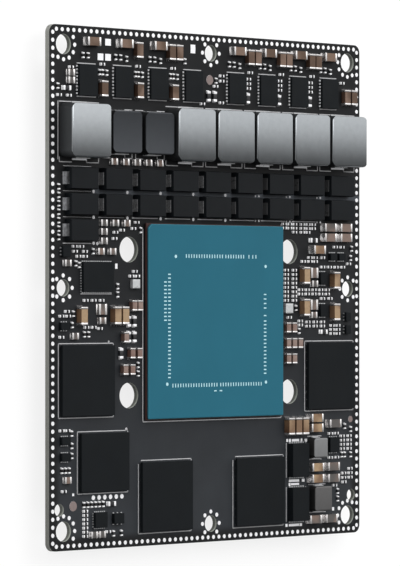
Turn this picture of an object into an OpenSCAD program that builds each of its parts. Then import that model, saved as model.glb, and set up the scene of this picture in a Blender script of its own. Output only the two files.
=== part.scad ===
// Bare system on module: a black circuit board that carries a large processor, memory,
// a row of power stages with their inductors and bulk capacitors, and many small parts.
// The board lies level, parts side up, on the mating face of the connector on its back.
// X runs left to right and Y front to back from the board's centre, and Z starts at the mating face.

/* [Board] */
// Width of the board, left to right
board_w = 87; // [87:0.5:96]
// Length of the board, front to back
board_l = 100; // [100:0.5:110]
// Thickness of the laminate
board_t = 1.1; // [0.8:0.1:2]
// Radius of the board's corners
board_corner_r = 1.6; // [0.4:0.1:1.8]

/* [Holes] */
// Corner screw holes: distance of the centre from both edges
corner_hole_inset = 3.7; // [3.5:0.1:3.9]
// Corner screw holes: diameter
corner_hole_d = 3.9; // [3:0.1:4]
// Middle screw holes: distance of the centre from the edge
mid_hole_inset = 3.6; // [3.4:0.1:3.8]
// Middle screw holes: diameter
mid_hole_d = 3.3; // [2.5:0.1:3.5]
// Heat sink holes: diameter
sink_hole_d = 5; // [4:0.1:5.2]
// Heat sink holes: spacing left to right
sink_hole_span_x = 45; // [44.5:0.1:45.5]
// Heat sink holes: spacing front to back
sink_hole_span_y = 28.2; // [27.8:0.1:28.6]
// Alignment holes: diameter
alignment_hole_d = 2.4; // [1.8:0.1:2.5]
// Alignment holes: distance of the centre from the side edge
alignment_hole_inset = 2.6; // [2.5:0.1:2.8]
// Alignment holes: distance of the centre from the front edge
alignment_hole_from_front = 7.8; // [7.7:0.1:8.4]

/* [Vias] */
// Diameter of a filled via's cap
via_d = 0.8; // [0.5:0.05:0.85]
// Height of a via's cap above the board
via_cap_h = 0.05; // [0.03:0.01:0.1]
// Spacing of the vias along the edges
edge_via_pitch = 1.515; // [1.2:0.005:3]
// Distance of the edge vias from the edge
edge_via_inset = 0.9; // [0.7:0.05:0.95]
// Distance of the first edge via from the corner
edge_via_start = 1.5; // [1.5:0.1:4]
// Gap between a middle screw hole's rim and the centres of the vias around it
mid_ring_gap = 0.7; // [0.6:0.05:1]
// Gap between a corner screw hole's rim and the centres of the vias around it
corner_ring_gap = 0.95; // [0.6:0.05:1]

/* [Processor] */
// Side of the square processor
processor_size = 38.2; // [36:0.1:38.6]
// Height of its solder balls
processor_ball_h = 0.3; // [0.2:0.05:0.5]
// Diameter of its solder balls
processor_ball_d = 0.7; // [0.4:0.05:1]
// Distance of the outer solder balls' centres from its edge
processor_ball_margin = 1.4; // [1.2:0.1:2]
// Spacing of its solder balls
processor_ball_pitch = 2.2; // [1.8:0.1:3]
// Thickness of its laminate substrate
processor_substrate_t = 0.35; // [0.2:0.05:0.8]
// Thickness of its lid
processor_lid_t = 0.55; // [0.3:0.05:2]
// Margin of bare substrate around the lid
processor_lid_margin = 0.15; // [0.05:0.05:0.5]
// Cut corner that marks the first pin
processor_corner_cut = 0.8; // [0.5:0.1:3]

/* [Memory] */
// Width of a memory chip
memory_w = 13.8; // [12:0.1:14.2]
// Length of a memory chip
memory_l = 13.5; // [12:0.1:13.8]
// Width of the storage chip
storage_w = 12.7; // [11:0.1:13]
// Length of the storage chip
storage_l = 11.2; // [10:0.1:11.6]
// Thickness of a memory or storage chip
memory_t = 0.65; // [0.4:0.05:1.2]
// Height of their solder balls
memory_ball_h = 0.25; // [0.15:0.05:0.4]
// Diameter of their solder balls
memory_ball_d = 0.45; // [0.3:0.05:0.8]
// Spacing of their solder balls
memory_ball_pitch = 1.6; // [1:0.1:2.4]

/* [Power stages] */
// Width of a power stage chip
stage_w = 4.8; // [4.2:0.1:4.8]
// Length of a power stage chip
stage_l = 6; // [5:0.1:6.2]
// Height of a power stage chip
stage_h = 0.75; // [0.5:0.05:1.2]
// Spacing of the four stages on the left
stage_pitch_left = 9.55; // [9.5:0.01:9.6]
// Spacing of the four stages on the right
stage_pitch_right = 9; // [8.98:0.01:9.02]

/* [Phase inductors] */
// Side of a large inductor
inductor_size = 10.3; // [9:0.1:10.7]
// Height of a large inductor
inductor_h = 3.7; // [2.5:0.1:6]
// Spacing of the large inductors
inductor_pitch = 11; // [10.9:0.05:11.05]
// Width of a low inductor
low_inductor_w = 7.8; // [7:0.1:8]
// Length of a low inductor
low_inductor_l = 8.2; // [7:0.1:8.4]
// Height of a low inductor
low_inductor_h = 3; // [2:0.1:5]
// Radius of the inductors' upright edges
inductor_corner_r = 1.3; // [0.4:0.05:1.6]
// Radius of the inductors' upper edges
inductor_edge_r = 0.3; // [0.15:0.05:0.6]
// Width of an inductor's terminals
inductor_terminal_w = 3.8; // [2:0.1:5]
// Length of terminal that shows beside a large inductor
inductor_terminal_reach = 0.45; // [0.3:0.05:0.6]
// Length of terminal that shows beside a low inductor
low_terminal_reach = 0.2; // [0.2:0.02:0.3]
// Height of the terminal's tab on the side of the body
inductor_terminal_h = 1.2; // [0.6:0.1:1.5]
// Thickness of the terminals' metal
terminal_t = 0.15; // [0.1:0.01:0.2]

/* [Bulk capacitors] */
// Length of a bulk capacitor's body
bulk_l = 7.2; // [6:0.1:7.3]
// Width of a bulk capacitor's body
bulk_w = 4.2; // [3.6:0.1:4.4]
// Height of a bulk capacitor
bulk_h = 1.9; // [1.6:0.1:3]
// How far its sides lean in above the terminals
bulk_draft = 0.12; // [0.05:0.01:0.2]
// Spacing of the capacitors in a row
bulk_pitch = 9.05; // [9:0.05:9.15]
// Spacing of the rows
bulk_row_pitch = 4.95; // [4.8:0.05:5]
// Width of the end terminals
bulk_terminal_w = 2.4; // [1.6:0.1:3]
// Height of the end terminals
bulk_terminal_h = 1.3; // [0.8:0.1:1.5]
// Length of the end terminals' feet on the board
bulk_foot_l = 0.7; // [0.4:0.05:0.75]

/* [Converters] */
// Width of a converter
converter_w = 4.8; // [4.4:0.1:5]
// Length of a converter
converter_l = 6.8; // [6:0.1:7]
// Height of a converter
converter_h = 1.5; // [0.8:0.1:3]
// Side of the smaller converter inductor
small_coil_size = 4; // [3.8:0.1:4.5]
// Side of the larger converter inductor
large_coil_size = 5; // [4.6:0.1:5.4]
// Height of the converter inductors
coil_h = 2; // [1.2:0.1:4]
// Length of the converter inductors' terminals that shows beside the body
coil_terminal_reach = 0.3; // [0.2:0.02:0.34]

/* [Controllers] */
// Width of the power controller
controller_w = 8; // [7:0.1:8]
// Length of the power controller
controller_l = 5.8; // [5:0.1:6]
// Width of the supervisor chip
supervisor_w = 3.2; // [2.8:0.1:3.4]
// Length of the supervisor chip
supervisor_l = 3; // [2.6:0.1:3.3]
// Height of the controllers and small chips
chip_h = 0.8; // [0.5:0.05:1.2]

/* [Leads] */
// Width of a chip's lead
lead_w = 0.28; // [0.2:0.02:0.34]
// Length of lead that shows beside the package
lead_reach = 0.2; // [0.1:0.02:0.24]
// Height of a lead
lead_h = 0.2; // [0.1:0.02:0.3]
// Spacing of leads on the controllers
fine_lead_pitch = 0.5; // [0.45:0.05:0.7]
// Width of a lead on a power stage or converter
power_lead_w = 0.35; // [0.25:0.05:0.4]
// Length of such a lead that shows beside the package
power_lead_reach = 0.3; // [0.2:0.02:0.32]
// Spacing of such leads
power_lead_pitch = 0.65; // [0.6:0.05:1.4]

/* [Ceramic capacitors] */
// Length of an input capacitor
input_cap_l = 3; // [2.8:0.1:3.2]
// Height of an input, bypass or entry capacitor
input_cap_h = 1.15; // [0.8:0.05:2]
// Length of an output, bypass or entry capacitor
output_cap_l = 3.4; // [3:0.1:3.6]
// Height of an output capacitor
output_cap_h = 1.5; // [0.8:0.05:2]
// Width of these four kinds
large_cap_w = 1.7; // [1.4:0.05:1.8]
// Share of the length of these four kinds that each metal end covers
large_end_share = 0.12; // [0.1:0.01:0.25]
// Length of a medium capacitor
medium_cap_l = 2; // [1.8:0.05:2.2]
// Width of a medium capacitor
medium_cap_w = 1.3; // [1:0.05:1.35]
// Height of a medium capacitor
medium_cap_h = 1.1; // [0.6:0.05:1.4]
// Share of a medium capacitor's length that each metal end covers
medium_end_share = 0.16; // [0.12:0.01:0.25]
// Length of a flat capacitor
flat_cap_l = 1.7; // [1.5:0.05:2.1]
// Width of a flat capacitor
flat_cap_w = 1.3; // [1:0.05:1.35]
// Height of a flat or wide capacitor
flat_cap_h = 0.65; // [0.4:0.05:1]
// Side of a wide capacitor, which is square
wide_cap_size = 2.1; // [1.8:0.05:2.2]
// Length of a medium resistor
medium_resistor_l = 2; // [1.6:0.05:2.1]
// Width of a medium resistor
medium_resistor_w = 0.9; // [0.6:0.05:0.95]
// Height of a medium resistor
resistor_h = 0.5; // [0.3:0.05:0.8]
// Length of a small chip capacitor or resistor
small_chip_l = 1.1; // [0.9:0.05:1.15]
// Width of a small chip capacitor or resistor
small_chip_w = 0.55; // [0.4:0.05:0.6]
// Height of a small chip capacitor or resistor
small_chip_h = 0.4; // [0.3:0.05:0.6]
// Share of the length that each metal end covers on all other chips
chip_end_share = 0.24; // [0.15:0.01:0.3]
// Length of the solder fillet at each end, as a share of the chip's length
solder_toe_share = 0.1; // [0.05:0.01:0.14]
// Share of an end's height that the solder climbs
solder_rise_share = 0.6; // [0.3:0.05:0.9]
// How far a chip's body lies inside its metal ends
chip_relief = 0.03; // [0.01:0.01:0.06]

/* [Board connector] */
// Height of the connector, from the mating face to the board's back
connector_h = 4; // [3:0.1:8]
// Length of the connector, front to back
connector_l = 74; // [60:0.5:80]
// Width of the connector, left to right
connector_w = 17; // [14:0.5:20]
// Thickness of its side walls
connector_wall = 0.9; // [0.6:0.1:1.4]
// Thickness of its end walls
connector_end_wall = 2.4; // [1.5:0.1:4]
// Thickness of its floor, against the board
connector_floor = 1.2; // [0.8:0.1:1.8]
// Rows of contacts
contact_rows = 11; // [5:1:11]
// Spacing of the contacts in a row
contact_pitch = 1.1; // [1:0.1:2]
// Width of a contact blade
contact_w = 0.55; // [0.3:0.05:0.7]
// Thickness of a contact blade
contact_t = 0.2; // [0.1:0.02:0.3]
// Depth of the blades' tips inside the mating face
contact_recess = 0.7; // [0.4:0.1:1.2]
// Thickness of the ribs between the rows
rib_t = 0.5; // [0.3:0.05:0.6]
// Depth of the ribs' edges inside the mating face
rib_recess = 0.4; // [0.2:0.1:1]

/* [Hidden] */
round_fn = 48;
small_fn = 24;
// Overshoot of a cut beyond the face it opens
cut = 0.5;
board_top = connector_h + board_t;

mask_black = [0.19, 0.2, 0.22];
mould_black = [0.12, 0.13, 0.14];
solder_white = [0.86, 0.87, 0.88];
bright_tin = [0.75, 0.75, 0.75];

// Corners of a rectangle around the origin, seen as signs
CORNERS = [[-1, -1], [1, -1], [-1, 1], [1, 1]];

corner_holes = [for (s = CORNERS) [s[0] * (board_w / 2 - corner_hole_inset),
                                   s[1] * (board_l / 2 - corner_hole_inset)]];
mid_side_x = board_w / 2 - mid_hole_inset;
mid_end_y = board_l / 2 - mid_hole_inset;
sink_centre_y = -6.65;
sink_holes = [for (s = CORNERS) [s[0] * sink_hole_span_x / 2,
                                 sink_centre_y + s[1] * sink_hole_span_y / 2]];
alignment_holes = [for (side = [-1, 1]) [side * (board_w / 2 - alignment_hole_inset),
                                         alignment_hole_from_front - board_l / 2]];

// Middle screw holes, each with the direction in which its board edge lies
mid_holes = [[mid_side_x, 0, 0], [0, mid_end_y, 90], [-mid_side_x, 0, 180], [0, -mid_end_y, 270]];

// Smallest gap between an edge via and an alignment hole
via_hole_gap = 0.1;
// Vias around a middle screw hole stand all round it, except towards the edge
mid_ring_count = 7;
mid_ring_step = 45;
// Vias around a corner screw hole stand on the side towards the board's centre
corner_ring_reach = 75;
corner_ring_step = 30;

processor_at = [0.7, -6.5];
memory_left_at = [-33.9, -17.7];
memory_right_at = [34.3, -17.7];
memory_lower_centre_at = [-12.7, -40.5];
memory_lower_right_at = [13.5, -40.5];
storage_at = [-29.5, -33.4];

stage_row_y = 39.7;
stage_left_x = -33.85;
stage_right_x = 7;
// Centres of the power stages, left to right
stage_x = [for (i = [0:3]) stage_left_x + i * stage_pitch_left,
           for (i = [0:3]) stage_right_x + i * stage_pitch_right];
left_gaps = [for (i = [0:2]) stage_x[i]];
right_gaps = [for (i = [4:6]) stage_x[i]];

inductor_row_y = 29.95;
first_inductor_x = -35.75;
low_inductor_x = [-25.55, -16.8];
right_inductor_x = -7.3;
// Phase inductors, left to right: centre, then width, length, height and reach of the terminals
large_inductor = [inductor_size, inductor_size, inductor_h, inductor_terminal_reach];
low_inductor = [low_inductor_w, low_inductor_l, low_inductor_h, low_terminal_reach];
inductors = [[first_inductor_x, large_inductor],
             [low_inductor_x[0], low_inductor],
             [low_inductor_x[1], low_inductor],
             for (i = [0:4]) [right_inductor_x + i * inductor_pitch, large_inductor]];

bulk_first = [-35.85, 20.9];
bulk_count = 9;
function bulk_row(row) = [for (i = [0:bulk_count - 1]) [bulk_first[0] + i * bulk_pitch,
                                                        bulk_first[1] - row * bulk_row_pitch]];
bulk_left_end_at = [bulk_first[0], bulk_first[1] - 2 * bulk_row_pitch];

converter_upper_at = [24.5, -34.6];
converter_lower_at = [24.5, -43.5];
small_coil_at = [29.95, -32.25];
large_coil_at = [30.7, -42.55];
controller_at = [-31.25, 2.1];
supervisor_at = [-30.5, -44.45];

// Small chips: centre, width, length, turn of the two sides with leads, and spacing of the leads
small_chips = [[-39.55, 6.95, 2, 2.1, 0, 0.65], [-39.9, -7.3, 2.2, 1.5, 90, 0.65],
               [-39.7, -29.1, 2.2, 1.6, 90, 0.5], [-39.7, -32.2, 2.2, 1.6, 90, 0.5],
               [35.05, 6.5, 1.9, 1.5, 90, 0.5], [37.6, 6.5, 1.9, 1.5, 90, 0.5],
               [32.05, 2.1, 1.9, 2.6, 90, 0.5], [32.05, -4.4, 1.9, 2.6, 90, 0.5],
               [35.3, -31.8, 2.8, 3.1, 90, 0.65],
               [39.4, -5.7, 1.4, 1.8, 0, 0.65], [39.4, -8.3, 1.4, 1.8, 0, 0.65],
               [-25.75, -44.35, 2.6, 2, 90, 1.05]];
// Crystal oscillators: centre, then width and length
oscillators = [[-21.1, 0.8, 2, 1.8], [21.9, -4, 2.2, 2]];
oscillator_edge_r = 0.2;

// Entry, input, output and bypass capacitors in groups: centre of the first, count across and down,
// steps to the right and down, and turn
top_cap_x = [-32.65, -24, -14.8, 7.3, 16.05, 25, 33.8];
entry_cap_groups = [for (x = top_cap_x) [x, 47.1, 1, 1, 0, 0, 0]];
input_cap_groups = concat(
    [[-20.45, 46, 1, 1, 0, 0, 90], [-11.55, 46, 2, 1, 2, 0, 90], [10.55, 46, 2, 1, 2, 0, 90],
     [19.65, 46, 2, 1, 1.9, 0, 90], [28.3, 46, 2, 1, 1.9, 0, 90], [38.85, 39.1, 2, 1, 2.05, 0, 90]],
    [for (x = left_gaps) [x + 4, 38.2, 1, 1, 0, 0, 90]]);
output_cap_groups = [[-35.6, -5.35, 1, 1, 0, 0, 90], [-26.7, -5.3, 2, 1, 2.1, 0, 90],
                     [26.35, 2.65, 1, 2, 0, 6.45, 90], [35.3, 1.7, 1, 2, 0, 6.45, 90],
                     [30.1, 7.9, 1, 1, 0, 0, 0], [21.9, -27.75, 3, 1, 2.08, 0, 90],
                     [29.4, -26.2, 1, 2, 0, 2, 0], [29.6, -36.2, 1, 2, 0, 2.3, 0]];
bypass_cap_groups = [[33.7, 12.45, 2, 2, 4.7, 2.05, 0], [35.15, -27.45, 1, 1, 0, 0, 0],
                     [34.65, -36.2, 1, 2, 0, 2.35, 0], [29.3, -46.75, 2, 1, 4.7, 0, 0]];

// Medium, flat and wide capacitors, given the same way
medium_cap_groups = [[-21.85, -3.4, 2, 1, 1.55, 0, 90], [-24.05, -9.5, 1, 1, 0, 0, 90],
                     [-22.35, -12.6, 2, 1, 1.9, 0, 90], [-24.25, -15.75, 2, 1, 1.9, 0, 90],
                     [21.4, -7.85, 2, 1, 1.75, 0, 90], [21.4, -11, 3, 1, 1.75, 0, 90],
                     [21.4, -14.1, 2, 1, 1.75, 0, 90]];
flat_cap_groups = [[-26.85, 24.3, 5, 1, 3.08, 0, 0], [-29.6, 12.5, 3, 1, 3.05, 0, 0],
                   [-29.6, 10.8, 1, 2, 0, 1.8, 0], [-30.4, 7, 2, 1, 3.1, 0, 0],
                   [-39.1, 4.7, 1, 1, 0, 0, 0], [-30, -6.3, 1, 1, 0, 0, 0], [-37.2, -9.2, 1, 1, 0, 0, 0],
                   [29.55, 1, 1, 1, 0, 0, 0], [29.3, -5.35, 1, 1, 0, 0, 0], [-39.1, -36.6, 1, 1, 0, 0, 0],
                   [-32.2, -47.25, 2, 1, 2.1, 0, 0], [-38.2, 40.95, 1, 2, 0, 1.45, 0]];
wide_cap_groups = [[-30, -4.1, 1, 1, 0, 0, 0], [29.4, 3.2, 1, 1, 0, 0, 0], [29.3, -3.25, 1, 1, 0, 0, 0]];
medium_resistor_groups = concat(
    [for (x = right_gaps) [x + 3.25, 37.85, 1, 1, 0, 0, 90]],
    [[-0.9, 37.85, 2, 1, 1.75, 0, 90], [29.4, 9.8, 1, 1, 0, 0, 0], [-22.8, -6.45, 2, 1, 1.5, 0, 90],
     [-22.8, -9.45, 2, 1, 1.5, 0, 90], [-24.9, -12.6, 1, 1, 0, 0, 90], [32.4, -8.75, 1, 1, 0, 0, 0],
     [-27.4, -41.45, 1, 1, 0, 0, 0], [-39.2, 38, 1, 1, 0, 0, 0]]);

// Small capacitors and resistors, given the same way
small_cap_groups = concat(
    [for (x = top_cap_x) [x - 2.2, 44.4, 2, 1, 1.3, 0, 90]],
    [for (x = left_gaps) [x + 3.35, 41.35, 2, 1, 0.8, 0, 90]],
    [for (x = right_gaps) [x + 3.5, 41.7, 1, 3, 0, 0.93, 0]],
    [[-38, 42, 1, 1, 0, 0, 0], [-41.45, 38.3, 1, 1, 0, 0, 90], [2.9, 42, 1, 2, 0, 1, 0],
     [-41.2, 19.2, 1, 7, 0, 1.6, 90], [-26.25, 10.7, 1, 1, 0, 0, 0], [-24.5, 11.15, 1, 1, 0, 0, 0],
     [-37.05, 7.9, 2, 1, 1.75, 0, 0], [-36.95, 6.95, 2, 1, 2.6, 0, 0], [-36.75, 4.65, 1, 1, 0, 0, 90],
     [-34.15, -2.4, 3, 1, 2.1, 0, 0], [-40.5, -5.4, 2, 1, 1.75, 0, 0], [-39.05, -4.5, 1, 1, 0, 0, 0],
     [-33.95, -7.55, 2, 1, 1.9, 0, 0], [-34.5, -8.9, 2, 1, 1.1, 0, 90],
     [20.85, 13, 3, 2, 1.53, 0.82, 0], [26.15, 13, 3, 2, 1.63, 0.82, 0], [28.4, 6.3, 2, 2, 1.6, 0.8, 0],
     [36, 8.5, 2, 1, 2, 0, 0], [21.45, 3.7, 2, 8, 2.4, 0.87, 0], [25.6, -0.24, 5, 2, 2, 0.85, 0],
     [27.8, -6.75, 3, 2, 2.17, 0.85, 0], [35, -7.5, 2, 3, 1.75, 0.83, 0],
     [-20.2, -14.9, 1, 2, 0, 1.65, 90], [-40.45, -27.15, 2, 1, 1.55, 0, 0],
     [-40.4, -34.75, 3, 1, 0.95, 0, 90], [-34.65, -41.45, 6, 1, 1.02, 0, 90],
     [-34.25, -42.65, 1, 7, 0, 0.8, 0], [38.05, -30.1, 2, 4, 2.1, 0.87, 0],
     [38.5, -37.7, 2, 2, 1.95, 0.9, 0]]);
resistor_groups = concat(
    [for (x = left_gaps) [x + 4.1, 42.9, 1, 1, 0, 0, 0]],
    [for (x = left_gaps) [x + 5.25, 41.3, 1, 1, 0, 0, 90]],
    [for (x = right_gaps) [x + 4.05, 43, 1, 1, 0, 0, 0]],
    [for (i = [1:len(top_cap_x) - 1]) [top_cap_x[i] + 0.7, 44.2, 1, 1, 0, 0, 90]],
    [[-7.4, 44.45, 1, 1, 0, 0, 90], [-41.1, 36.6, 2, 1, 2.55, 0, 0], [1.3, 41, 1, 1, 0, 0, 90],
     [1.2, 39.9, 1, 1, 0, 0, 0], [2.8, 36.7, 1, 1, 0, 0, 0], [-2.5, 36.3, 1, 1, 0, 0, 0],
     [38, 42, 1, 1, 0, 0, 0], [-20.55, 12.7, 1, 1, 0, 0, 0], [-21.45, 11.5, 1, 1, 0, 0, 0],
     [-19.5, 11.2, 1, 1, 0, 0, 90], [-26.5, 9.5, 1, 1, 0, 0, 0], [-32.2, 7, 1, 1, 0, 0, 90],
     [-36.1, 6, 2, 1, 1.75, 0, 0], [-35.9, 4.35, 1, 1, 0, 0, 90], [-25.7, 0.3, 1, 2, 0, 1.55, 90],
     [-21.05, 3.2, 1, 1, 0, 0, 0], [-22, 2.3, 2, 1, 1.6, 0, 0], [-37.4, -4.95, 1, 1, 0, 0, 90],
     [-40.5, -9.4, 1, 1, 0, 0, 0], [-37.7, -7.1, 1, 1, 0, 0, 90], [-30.4, -7.8, 1, 1, 0, 0, 0],
     [23.9, 11.38, 1, 1, 0, 0, 0], [26.15, 11.38, 2, 1, 1.63, 0, 0], [26.45, 5.5, 1, 1, 0, 0, 0],
     [32.2, 6.3, 1, 1, 0, 0, 0], [32.2, 4.4, 4, 1, 2, 0, 0], [40.9, 8.2, 1, 1, 0, 0, 90],
     [40.6, 6.3, 1, 1, 0, 0, 90], [40, 5.1, 1, 1, 0, 0, 0], [32.2, -2, 2, 1, 2.2, 0, 0],
     [24.3, -3.9, 1, 1, 0, 0, 90], [22.35, -5.8, 1, 1, 0, 0, 0], [25.6, -6.55, 1, 2, 0, 0.82, 0],
     [25.2, -8.55, 1, 1, 0, 0, 90], [-37.85, -27.75, 1, 1, 0, 0, 90], [-37.8, -30.1, 1, 2, 0, 1.9, 90],
     [-39.85, -38.7, 1, 1, 0, 0, 0], [-26.8, -47.2, 2, 1, 2.1, 0, 90], [-28.2, -46.8, 1, 1, 0, 0, 0],
     [34.5, -29.5, 2, 1, 1.75, 0, 0], [34.5, -34.4, 2, 1, 1.9, 0, 0], [38.8, -28.1, 1, 1, 0, 0, 90],
     [40.6, -28.75, 1, 1, 0, 0, 90], [37.9, -33.9, 2, 1, 0.85, 0, 90], [40.6, -33.95, 1, 1, 0, 0, 90],
     [40.45, -36.8, 1, 1, 0, 0, 0], [38.6, -39.5, 1, 1, 0, 0, 0], [35.8, -40.1, 1, 1, 0, 0, 0],
     [36.7, -41.3, 1, 2, 0, 1.55, 90]]);

// Bare pads: centre, then width and length
bare_pads = [[-28.1, 47.2, 1.5, 1.3], [-30.1, 44.3, 1.5, 1.3], [-28.1, 44.3, 1.5, 1.3], [-5, 47, 1.3, 1.7],
             [-25.9, 4.2, 0.6, 1], [-37.3, -39.4, 0.5, 0.5], [35.5, -44.9, 0.6, 0.7],
             [21.9, -30.6, 0.5, 0.6], [22.7, -30.6, 0.6, 0.6], [24.35, -30.6, 2.1, 0.5],
             [26.1, -30.6, 0.5, 0.6], [27.4, -30.7, 0.7, 0.6], [23.9, -38.75, 3, 0.5],
             [26.6, -38.75, 0.8, 0.6], [22.6, -39.5, 0.5, 0.6], [24.2, -39.45, 2.4, 0.4],
             [21.7, -47.7, 0.6, 0.6], [23.9, -47.7, 3, 0.5], [25.9, -47.7, 0.7, 0.6]];
// Round test pads in a row: first, count, spacing and diameter
test_pad_first = [-32, -40.15];
test_pad_count = 6;
test_pad_pitch = 1.52;
test_pad_d = 0.9;
// Alignment dots for the placing machine: centre and diameter
fiducials = [[-0.3, 41.1, 1.9], [-37.3, -41.6, 1.9], [40.7, -26.7, 1.3]];

// Capacitors on the back, in columns beside the connector
back_cap_clearance = 2.5;
back_cap_rows = 8;
back_cap_pitch = 6;
back_places = [for (side = [-1, 1])
               for (i = [0:back_cap_rows - 1]) [side * (connector_w / 2 + back_cap_clearance),
                                                (i - (back_cap_rows - 1) / 2) * back_cap_pitch]];

contact_row_pitch = (connector_w - 2 * connector_wall) / contact_rows;
contact_field_l = connector_l - 2 * connector_end_wall;
contacts_per_row = floor(contact_field_l / contact_pitch);

// Bend in a solder fillet's hollow face, as shares of its length and rise
solder_knee = [0.35, 0.3];

// Length, width, height and end share of each kind of chip
input_cap = [input_cap_l, large_cap_w, input_cap_h, large_end_share];
output_cap = [output_cap_l, large_cap_w, output_cap_h, large_end_share];
bypass_cap = [output_cap_l, large_cap_w, input_cap_h, large_end_share];
medium_cap = [medium_cap_l, medium_cap_w, medium_cap_h, medium_end_share];
flat_cap = [flat_cap_l, flat_cap_w, flat_cap_h, chip_end_share];
wide_cap = [wide_cap_size, wide_cap_size, flat_cap_h, chip_end_share];
medium_resistor = [medium_resistor_l, medium_resistor_w, resistor_h, chip_end_share];
small_chip = [small_chip_l, small_chip_w, small_chip_h, chip_end_share];

// Length, width and height of each kind of lead
fine_lead = [lead_reach, lead_w, lead_h];
power_lead = [power_lead_reach, power_lead_w, lead_h];

// Every place of a list of groups, as [x, y, turn]
function seats(groups) = [for (g = groups)
                          for (i = [0:g[2] - 1])
                          for (j = [0:g[3] - 1]) [g[0] + i * g[4], g[1] - j * g[5], g[6]]];

// Shapes that repeat

module on_board(at) {
    translate([at[0], at[1], board_top]) children();
}

module on_back(at) {
    translate([at[0], at[1], connector_h]) mirror([0, 0, 1]) children();
}

module rounded_rect(w, l, r) {
    square([w - 2 * r, l], center = true);
    square([w, l - 2 * r], center = true);
    for (s = CORNERS) translate([s[0] * (w / 2 - r), s[1] * (l / 2 - r)]) circle(r = r, $fn = round_fn);
}

// Flat package that stands on its lower face
module package(w, l, h) {
    translate([-w / 2, -l / 2, 0]) cube([w, l, h]);
}

// Cross-section of a pressed block: a flat foot and rounded upper edges
module block_profile(w, h, r) {
    translate([-w / 2, 0]) square([w, h - r]);
    translate([r - w / 2, 0]) square([w - 2 * r, h]);
    for (side = [-1, 1]) translate([side * (w / 2 - r), h - r]) circle(r = r, $fn = round_fn);
}

// Pressed powder block with rounded upright edges of one radius and upper edges of another
module pressed_block(w, l, h, corner_r, edge_r) {
    intersection() {
        linear_extrude(h) rounded_rect(w, l, corner_r);
        rotate([90, 0, 0]) linear_extrude(l + 2 * cut, center = true) block_profile(w, h, edge_r);
        rotate([90, 0, 90]) linear_extrude(w + 2 * cut, center = true) block_profile(l, h, edge_r);
    }
}

// Folded tab on both ends of a block: a foot on the board and a strip up the side
module block_terminals(l, w, reach, h) {
    for (turn = [0, 180]) rotate(turn) translate([-w / 2, l / 2, 0]) {
        cube([w, reach, terminal_t]);
        cube([w, terminal_t, h]);
    }
}

// Leads on the two sides of a package that face left and right
module side_leads(w, l, pitch, lead) {
    last = floor((l - lead[1]) / pitch);
    for (side = [-1, 1]) for (i = [0:last])
        translate([side * (w + lead[0]) / 2, (i - last / 2) * pitch, lead[2] / 2]) cube(lead, center = true);
}

// Leads on the two sides that face front and back
module end_leads(w, l, pitch, lead) {
    rotate(90) side_leads(l, w, pitch, lead);
}

module all_round_leads(w, l, pitch, lead) {
    side_leads(w, l, pitch, lead);
    end_leads(w, l, pitch, lead);
}

module solder_balls(w, l, pitch, d, h) {
    across = floor((w - d) / pitch);
    down = floor((l - d) / pitch);
    for (i = [0:across]) for (j = [0:down])
        translate([(i - across / 2) * pitch, (j - down / 2) * pitch, 0])
            cylinder(d = d, h = h, $fn = small_fn);
}

// Body of a chip capacitor or resistor, between its two metal ends
module chip_body(size) {
    inner = [size[0] * (1 - 2 * size[3]), size[1] - 2 * chip_relief, size[2] - 2 * chip_relief];
    translate([0, 0, size[2] / 2]) cube(inner, center = true);
}

// Metal ends of a chip, each with its solder fillet on the board
module chip_ends(size) {
    end_l = size[0] * size[3];
    toe = size[0] * solder_toe_share;
    h = size[2];
    rise = h * solder_rise_share;
    for (turn = [0, 180]) rotate(turn) translate([size[0] / 2 - end_l, size[1] / 2, 0]) rotate([90, 0, 0])
        linear_extrude(size[1])
            polygon([[0, 0], [end_l + toe, 0], [end_l + toe * solder_knee[0], rise * solder_knee[1]],
                     [end_l, rise], [end_l, h], [0, h]]);
}

module chip_bodies(groups, size) {
    for (s = seats(groups)) on_board(s) rotate(s[2]) chip_body(size);
}

module all_chip_ends(groups, size) {
    for (s = seats(groups)) on_board(s) rotate(s[2]) chip_ends(size);
}

// Board

module circuit_board() {
    color(mask_black) translate([0, 0, connector_h]) difference() {
        linear_extrude(board_t) rounded_rect(board_w, board_l, board_corner_r);
        for (at = corner_holes) board_hole(at, corner_hole_d);
        for (at = mid_holes) board_hole(at, mid_hole_d);
        for (at = sink_holes) board_hole(at, sink_hole_d);
        for (at = alignment_holes) board_hole(at, alignment_hole_d);
    }
}

module board_hole(at, d) {
    translate([at[0], at[1], -cut]) cylinder(d = d, h = board_t + 2 * cut, $fn = round_fn);
}

// A filled via shows as a low cap on both faces of the board
module via_caps(at) {
    on_board(at) cylinder(d = via_d, h = via_cap_h, $fn = small_fn);
    on_back(at) cylinder(d = via_d, h = via_cap_h, $fn = small_fn);
}

function hole_gap(at) = min([for (hole = alignment_holes) norm(at - hole)]) - (alignment_hole_d + via_d) / 2;

module edge_vias() {
    along_x = floor((board_w - 2 * edge_via_start) / edge_via_pitch);
    along_y = floor((board_l - 2 * edge_via_start) / edge_via_pitch);
    edge_x = board_w / 2 - edge_via_inset;
    edge_y = board_l / 2 - edge_via_inset;
    color(solder_white) {
        for (side = [-1, 1]) for (i = [0:along_x])
            via_caps([(i - along_x / 2) * edge_via_pitch, side * edge_y]);
        for (side = [-1, 1]) for (i = [0:along_y]) {
            at = [side * edge_x, (i - along_y / 2) * edge_via_pitch];
            if (hole_gap(at) > via_hole_gap) via_caps(at);
        }
    }
}

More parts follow.
